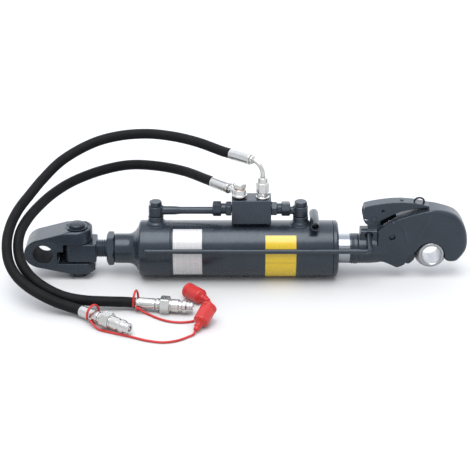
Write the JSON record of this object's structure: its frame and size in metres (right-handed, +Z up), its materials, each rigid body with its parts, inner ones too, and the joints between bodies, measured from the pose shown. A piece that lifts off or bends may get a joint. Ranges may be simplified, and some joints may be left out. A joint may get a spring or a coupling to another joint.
{
  "type": "tractor top link",
  "caption": "Hydraulic top link with articulated fork end, quick-release hook with ball, check valve block and hoses with capped couplings.",
  "frame": {"origin": "on the ground under the middle of the link's body, without its hoses", "axes": "+X along the cylinder towards the hook, +Y away from the side that carries the indicator rod, +Z up as it lies on the ground"},
  "size_m": [0.7693, 0.3587, 0.2239],
  "materials": {
    "paint": "semi-gloss graphite grey paint",
    "zinc": "bright zinc plate",
    "steel": "machined",
    "chrome": "ground hard chrome",
    "copper": "soft copper",
    "hose": "matt, cloth-wrapped",
    "red_cap": "moulded soft PVC",
    "seal": "moulded polyurethane"
  },
  "bodies": {
    "barrel": {"barrel_tube": "paint", "base_cap": "paint", "gland": "paint", "rod_seal": "seal", "rod_wiper": "seal", "boss_base": "paint", "boss_head": "paint", "pipe_base": "paint", "pipe_head": "paint", "banjo_bolt_base": "paint", "banjo_bolt_head": "paint", "valve_block": "paint", "adapter_base": "paint", "adapter_head": "paint", "pipe_nut_base": "paint", "pipe_nut_head": "paint", "hose_banjo_eye": "zinc", "hose_banjo_bolt": "zinc", "washer_lower": "copper", "washer_upper": "copper", "hose_adapter": "zinc", "swivel_nut": "zinc", "elbow_tube": "zinc", "ferrule_a_top": "zinc", "ferrule_b_top": "zinc", "hose_a": "hose", "hose_b": "hose", "ferrule_a_end": "zinc", "ferrule_b_end": "zinc", "coupling_a": "zinc", "coupling_b": "zinc", "cap_a": "red_cap", "cap_b": "red_cap", "strap_a": "red_cap", "strap_b": "red_cap", "stow_tube": "paint"},
    "nut": {"lock_nut": "paint"},
    "shank": {"threaded_eye": "paint"},
    "fork_end": {"fork": "paint", "fork_pin": "paint", "clip_top": "paint", "pin_stop": "paint"},
    "piston_set": {"piston": "steel", "piston_seal": "seal", "piston_nut": "steel"},
    "rod_hook": {"piston_rod": "chrome", "hook_body": "paint", "indicator_rod": "paint", "latch_pin": "paint", "lever_pin": "paint", "lever_spring": "steel"},
    "lever": {"release_lever": "paint", "pull_ring": "paint"},
    "latch_set": {"latch": "paint"},
    "ball": {"hook_ball": "zinc"},
    "pilot": {"pilot_piston": "steel"},
    "check_base": {"check_poppet_base": "steel"},
    "check_head": {"check_poppet_head": "steel"},
    "nipple_a": {"nipple_poppet_a": "steel"},
    "nipple_b": {"nipple_poppet_b": "steel"}
  },
  "joints": [
    {"name": "stroke", "type": "slide", "parent": "barrel", "child": "piston_set", "axis": [1, 0, 0], "range_m": [0, 0.19]},
    {"name": "rod_roll", "type": "hinge", "parent": "piston_set", "child": "rod_hook", "pos_m": [0.1885, 0.0036, 0.0478], "axis": [1, 0, 0], "range_deg": [-20, 30]},
    {"name": "ball_turn", "type": "hinge", "parent": "rod_hook", "child": "ball", "pos_m": [0.3113, 0.0036, 0.0448], "axis": [0, 1, 0], "continuous": true},
    {"name": "lever_pull", "type": "hinge", "parent": "rod_hook", "child": "lever", "pos_m": [0.213, 0.0036, 0.1063], "axis": [0, -1, 0], "range_deg": [0, 30], "stiffness_Nm_per_rad": 0.5, "springref_deg": -17.19},
    {"name": "latch_swing", "type": "hinge", "parent": "rod_hook", "child": "latch_set", "pos_m": [0.244, 0.0036, 0.0778], "axis": [0, 1, 0], "range_deg": [0, 15]},
    {"name": "shank_turn", "type": "hinge", "parent": "barrel", "child": "nut", "pos_m": [-0.22, 0.0036, 0.0478], "axis": [-1, 0, 0], "range_deg": [0, 1440]},
    {"name": "shank_travel", "type": "slide", "parent": "nut", "child": "shank", "axis": [-1, 0, 0], "range_m": [0, 0.0141]},
    {"name": "fork_swivel", "type": "hinge", "parent": "shank", "child": "fork_end", "pos_m": [-0.283, 0.0036, 0.0478], "axis": [0, 0, -1], "range_deg": [-40, 40]},
    {"name": "pilot_shift", "type": "slide", "parent": "barrel", "child": "pilot", "axis": [1, 0, 0], "range_m": [-0.0015, 0.0015]},
    {"name": "check_base_lift", "type": "slide", "parent": "barrel", "child": "check_base", "axis": [-1, 0, 0], "range_m": [0, 0.0012], "stiffness_N_per_m": 500, "springref_m": -0.003},
    {"name": "check_head_lift", "type": "slide", "parent": "barrel", "child": "check_head", "axis": [1, 0, 0], "range_m": [0, 0.0012], "stiffness_N_per_m": 500, "springref_m": -0.003},
    {"name": "nipple_a_push", "type": "slide", "parent": "barrel", "child": "nipple_a", "axis": [-0.988, 0.1545, 0], "range_m": [0, 0.002], "stiffness_N_per_m": 600, "springref_m": -0.003},
    {"name": "nipple_b_push", "type": "slide", "parent": "barrel", "child": "nipple_b", "axis": [-0.8147, 0.5798, 0], "range_m": [0, 0.002], "stiffness_N_per_m": 600, "springref_m": -0.003}
  ],
  "couplings": [
    {"joint": "latch_swing", "follows": "lever_pull", "ratio": 0.5},
    {"joint": "shank_travel", "follows": "shank_turn", "m_per_rad": 0.00055704}
  ]
}
